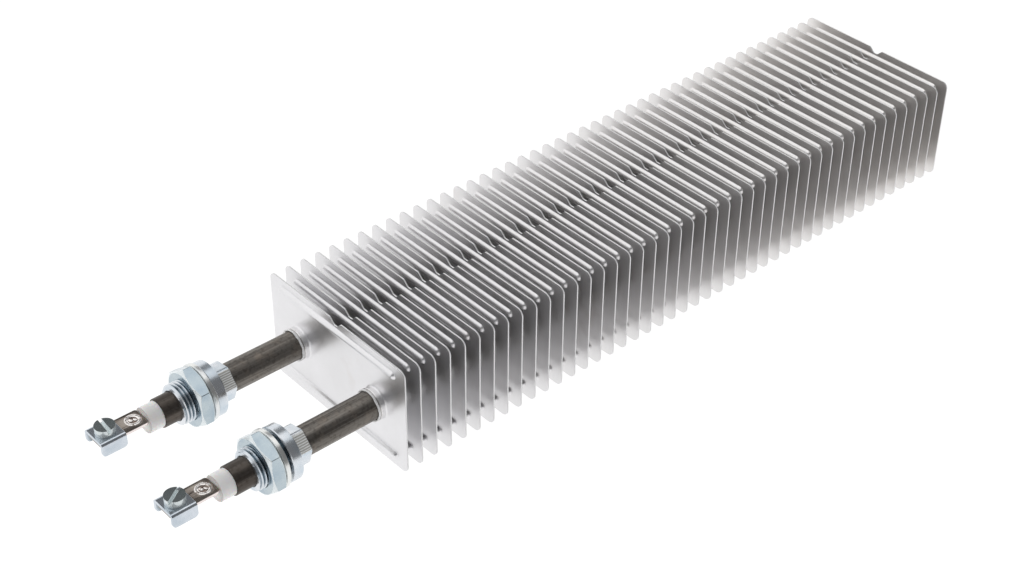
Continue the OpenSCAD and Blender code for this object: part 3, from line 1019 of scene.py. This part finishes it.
def copy_of(node, name, width, segments=2, angle=30, foot_r=0.0):
    """A solid's own mesh with whole flats and broken edges. A foot_r rounds the corners at its foot."""
    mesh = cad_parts[node].data.copy()
    mesh.materials.clear()
    work = bmesh.new()
    work.from_mesh(mesh)
    bmesh.ops.remove_doubles(work, verts=work.verts, dist=0.001 * mm)
    bmesh.ops.dissolve_limit(work, angle_limit=math.radians(1), verts=work.verts, edges=work.edges)
    if foot_r:
        foot = min(v.co.z for v in work.verts) + 0.1 * mm
        across = [
            e for e in work.edges
            if max(v.co.z for v in e.verts) < foot and e.verts[0].co.x == e.verts[1].co.x
        ]
        bmesh.ops.bevel(work, geom=across, offset=foot_r, segments=5, profile=0.5, affect="EDGES")
    work.to_mesh(mesh)
    work.free()
    mesh.shade_smooth()
    piece = link_object(name, mesh)
    round_edges(piece, width, segments, angle)
    keep_flats(piece)
    return to_plain_mesh(piece, name)


def reshape_weld(mesh, weld):
    """Swaps the plain ring for a rounded, uneven one, with two frozen drops of steel in its crater."""
    work = bmesh.new()
    work.from_mesh(mesh)
    plain = [v for v in work.verts if v.co.z > weld.z + 0.01 * mm]
    bmesh.ops.delete(work, geom=plain, context="VERTS")
    bmesh.ops.triangle_fill(work, edges=[e for e in work.edges if e.is_boundary], use_beauty=True)

    def wavy(height, r):
        def at(turn):
            swell = 1 + 0.12 * math.sin(2 * turn + 0.7) + 0.08 * math.sin(5 * turn)
            return height * swell * mm, r
        return at

    inner, outer = weld_inner - 0.1 * mm, weld_outer + 0.15 * mm
    buried, flush = -0.3 * mm, -0.02 * mm
    ring = lathe("weld_ring", [
        (buried, inner), (flush, inner), wavy(0.12, weld_inner + 0.12 * mm),
        wavy(0.26, weld_inner + 0.32 * mm), wavy(0.30, (weld_inner + weld_outer) / 2),
        wavy(0.24, weld_outer - 0.25 * mm), wavy(0.10, weld_outer), (flush, outer), (buried, outer),
    ], 40)
    ring.transform(Matrix.Translation(weld) @ Matrix.Rotation(math.radians(-90), 4, "Y"))
    ring.shade_smooth()
    work.from_mesh(ring)
    bpy.data.meshes.remove(ring)
    for x, y, turn, length in ((-0.7, 0.25, 0.3, 1.0), (0.7, -0.3, 0.5, 0.95)):
        place = Matrix.Translation(weld + Vector((x, y, -0.12)) * mm) @ Matrix.Rotation(turn, 4, "Z")
        shape = Matrix.Diagonal((0.62 * mm, length * mm, 0.46 * mm, 1.0))
        made = bmesh.ops.create_uvsphere(work, u_segments=16, v_segments=8, radius=1, matrix=place @ shape)
        for face in {f for v in made["verts"] for f in v.link_faces}:
            face.smooth = True
    work.to_mesh(mesh)
    work.free()


def welded_strip(name, weld):
    """Browned steel, bright where it was molten and pink on its sheared sides."""
    material = browned_steel(name, (0.19, 0.16, 0.14), (0.34, 0.30, 0.26), 0.2, 0.3)
    tree, surface, colour, _ = reopen(material)
    spot = shader(tree, "TexCoord").outputs
    place = spot["Object"]
    away = shader(tree, "VectorMath", {0: place, 1: tuple(weld)}, operation="DISTANCE").outputs["Value"]
    molten = spread(tree, away, weld_outer - 0.25 * mm, weld_outer + 0.15 * mm, 1.0, 0.0)
    side = spread(tree, combine(tree, "ABSOLUTE", part_of(tree, spot["Normal"], "Y")), 0.6, 0.8)
    low = spread(tree, part_of(tree, place, "Z"), weld.z + 0.02 * mm, weld.z + 0.1 * mm, 1.0, 0.0)
    pit = combine(tree, "MULTIPLY", low, spread(tree, away, 1.4 * mm, 1.6 * mm, 1.0, 0.0))
    bloom = use_group(tree, metal_bloom, vector=place, blotch_scale=900.0, grain_scale=2400.0)
    patches = spread(tree, bloom["Blotches"], 0.5, 0.62, 0.0, 0.85)
    frozen = mix_colour(tree, patches, (0.95, 0.91, 0.88), (0.22, 0.17, 0.14))
    colour = tinted(tree, colour, (side, (0.82, 0.74, 0.72)), (molten, frozen), (pit, (0.24, 0.18, 0.15)))
    feed(tree, surface, {"Base Color": colour, "Metallic": spread(tree, molten, 0.0, 1.0, 1.0, 0.85)})
    return material


for side, node in ((-1, "near_tab"), (1, "far_tab")):
    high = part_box(node)[1]
    weld = Vector((high.x - weld_from_back, side * leg_y, high.z - weld_rise))
    tab = copy_of(node, node + "_strip", 0.12 * mm)
    reshape_weld(tab.data, weld)
    tab.data.materials.append(welded_strip(node + "_steel", weld))
    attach(tab, "root")
    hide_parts(node)


# Saddles and terminal screws. A folded zinc-plated saddle, its free corners rounded, slips over each tab,
# and a slotted M4 cheese-head screw pulls it down on the wire. The screw heads are coloured a dark slate
# grey, and the near screw stands 15 degrees further round than its solid.
saddle = copy_of("saddles", "folded_saddles", 0.15 * mm, foot_r=1.3 * mm)
saddle.data.materials.append(zinc("saddle_zinc", (0.64, 0.68, 0.73), (0.50, 0.56, 0.62), 0.14))
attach(saddle, "root")
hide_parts("saddles")

slot_depth = 1.4 * mm
head_h = 2.5 * mm
slot_reach = 2.9 * mm


def mark_bright(mesh):
    """Marks each screw's slot and the side of its head, which are coloured lighter than the top."""
    top = max(v.co.z for v in mesh.vertices)
    slot_low, slot_high = top - slot_depth - 0.05 * mm, top - 0.1 * mm
    neck = top - head_h + 0.1 * mm
    axes = [(low + high) / 2 for low, high in solids_of("screws")]
    bright = []
    for face in mesh.polygons:
        reach = (face.center - axes[face.center.y > 0]).xy.length
        side = face.center.z > neck and abs(face.normal.z) < 0.5
        in_slot = slot_low < face.center.z < slot_high and reach < slot_reach
        bright.append(1.0 if in_slot else 0.75 * side)
    mark(mesh, "bright", bright, "FACE")


def slotted_steel():
    """Zinc coloured a dark greenish slate, and lighter in the slot and on the head's side."""
    material = zinc("screw_zinc", (0.54, 0.59, 0.60), (0.32, 0.38, 0.38), 0.12, (0.10, 0.14, 0.13), 0.65)
    return brighten(material, (0.88, 0.94, 0.95), 0.2)


screw = copy_of("screws", "cheese_head_screws", 0.12 * mm)
near_screw = sum(solids_of("screws")[0], Vector()) / 2
tighter = Matrix.Rotation(math.radians(-15), 3, "Z")
for v in screw.data.vertices:
    if v.co.y < 0:
        v.co = near_screw + tighter @ (v.co - near_screw)
mark_bright(screw.data)
screw.data.materials.append(slotted_steel())
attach(screw, "root")
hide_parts("screws")


# Studio. The heater lies on a white sweep that is lit until it glows and that rises behind it to the left
# and the back. Two soft boxes hang overhead; the side towards the camera is a dark room.
def white_sweep():
    material, tree, surface, place = finish_named("white_sweep")
    paper = shader(tree, "TexNoise", {"Vector": place, "Scale": 400.0, "Detail": 2.0}).outputs["Fac"]
    feed(tree, surface, {
        "Base Color": mix_colour(tree, paper, (0.10, 0.10, 0.10), (0.12, 0.12, 0.12)),
        "Roughness": 0.9, "Specular IOR Level": 0.0,
        "Emission Color": (1, 1, 1, 1), "Emission Strength": 1.0,
    })
    return material


sweep_reach = 6
sweep_r = 3.0
sweep_top = 2.4
# The raised part's top edge dips at one azimuth
dip_depth, dip_azimuth, dip_width = 0.5, 65, 18
sweep_rim = [math.radians(20 + 10 * k) for k in range(16)]
sweep_points = [(x * sweep_reach, y * sweep_reach, 0) for x, y in ((-1, -1), (1, -1), (1, 1), (-1, 1))]
sweep_points += [(sweep_r * math.cos(t), sweep_r * math.sin(t), 0) for t in sweep_rim]
for t in sweep_rim:
    dip = dip_depth * math.exp(-((math.degrees(t) - dip_azimuth) / dip_width) ** 2)
    sweep_points.append((sweep_r * math.cos(t), sweep_r * math.sin(t), sweep_top - dip))
above = len(sweep_rim)
sweep_faces = [(0, 1, 2, 3)]
sweep_faces += [(k, k + 1, k + 1 + above, k + above) for k in range(4, 3 + above)]
sweep_mesh = bpy.data.meshes.new("sweep")
sweep_mesh.from_pydata(sweep_points, [], sweep_faces)
sweep_mesh.materials.append(white_sweep())
sweep = link_object("sweep", sweep_mesh)
sweep.location.z = cad_low.z - 0.02 * mm
sweep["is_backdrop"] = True

box_height = 2.35
box_glow = 0.98
box_corners = (((-2.9, -0.7), (1.4, 1.0)), ((-2.9, 1.0), (0.1, 2.9)))
for box_low, box_high in box_corners:
    softbox = bpy.data.lights.new("softbox", "AREA")
    softbox.shape = "RECTANGLE"
    softbox.size, softbox.size_y = box_high[0] - box_low[0], box_high[1] - box_low[1]
    softbox.energy = box_glow * math.pi * softbox.size * softbox.size_y
    overhead = link_object("softbox", softbox)
    overhead.location = ((box_low[0] + box_high[0]) / 2, (box_low[1] + box_high[1]) / 2, box_height)

world = bpy.data.worlds.new("studio")
bpy.context.scene.world = world
world.use_nodes = True
backdrop = world.node_tree.nodes["Background"]
backdrop.inputs["Color"].default_value = (0.97, 0.98, 1.0, 1)
backdrop.inputs["Strength"].default_value = 0.19


# Camera. It looks down over the terminals from the near left, where the photograph was taken, and the
# viewpoint and lens were solved from the corners of the fins.
lens = bpy.data.cameras.new("camera")
lens.sensor_width = 36.0
lens.lens = 65.76
lens.clip_start = 0.01
camera = link_object("camera", lens)
camera_right = Vector((0.75033, -0.66101, 0.00803))
camera_up = Vector((0.39170, 0.45440, 0.80010))
camera_back = camera_right.cross(camera_up)
camera.matrix_world = Matrix.Translation((-372.22 * mm, -382.02 * mm, 402.67 * mm)) @ Matrix(
    (camera_right, camera_up, camera_back)
).transposed().to_4x4()
bpy.context.scene.camera = camera
bpy.context.scene.view_settings.view_transform = "Standard"

low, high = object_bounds()
